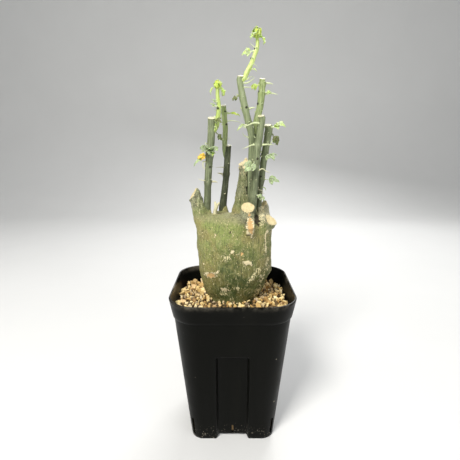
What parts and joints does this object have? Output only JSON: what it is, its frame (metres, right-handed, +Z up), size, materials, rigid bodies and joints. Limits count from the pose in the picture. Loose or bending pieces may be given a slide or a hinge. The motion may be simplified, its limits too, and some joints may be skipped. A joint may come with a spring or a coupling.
{
  "type": "potted caudex plant",
  "caption": "Swollen green caudex with pruned stubs, upright green stems, side shoots and small leaves, in pale grit in a deep square black nursery pot.",
  "frame": {"origin": "middle of the pot's underside, at the height the feet stand on", "axes": "+Z up along the plant, -Y the side seen from the front, +X to the right of that side"},
  "size_m": [0.09, 0.09, 0.2946],
  "materials": {
    "pot_plastic": "satin",
    "grit": "matte",
    "bark": "matte",
    "stem_skin": "satin",
    "shoot_skin": "satin",
    "leaf": "satin",
    "spine": "matte"
  },
  "bodies": {
    "root": {"pot": "pot_plastic", "grit_bed": "grit", "caudex": "bark", "stem_left": "stem_skin", "stem_middle": "stem_skin", "stem_tall": "stem_skin", "stem_forked": "stem_skin", "stem_front": "stem_skin", "stem_right": "stem_skin", "shoot_left": "shoot_skin", "shoot_middle": "shoot_skin", "shoot_tall": "shoot_skin", "shoot_forked": "shoot_skin", "tip_left": "leaf", "tip_tall": "leaf", "leaf_left_green": "leaf", "leaf_left_yellow": "leaf", "leaf_left_dark": "leaf", "leaf_middle": "leaf", "leaf_tall_left": "leaf", "leaf_front": "leaf", "leaf_tall_blade": "leaf", "leaf_forked_curl": "leaf", "leaf_right_top": "leaf", "leaf_right_dark": "leaf", "leaf_right_middle": "leaf", "leaf_right_low": "leaf", "leaf_bead": "leaf", "leaf_shoot_tall": "leaf", "spine_front": "spine", "spine_forked": "spine", "spine_forked_low": "spine", "spine_tall": "spine", "spine_middle": "spine", "spine_left": "spine"}
  },
  "joints": []
}
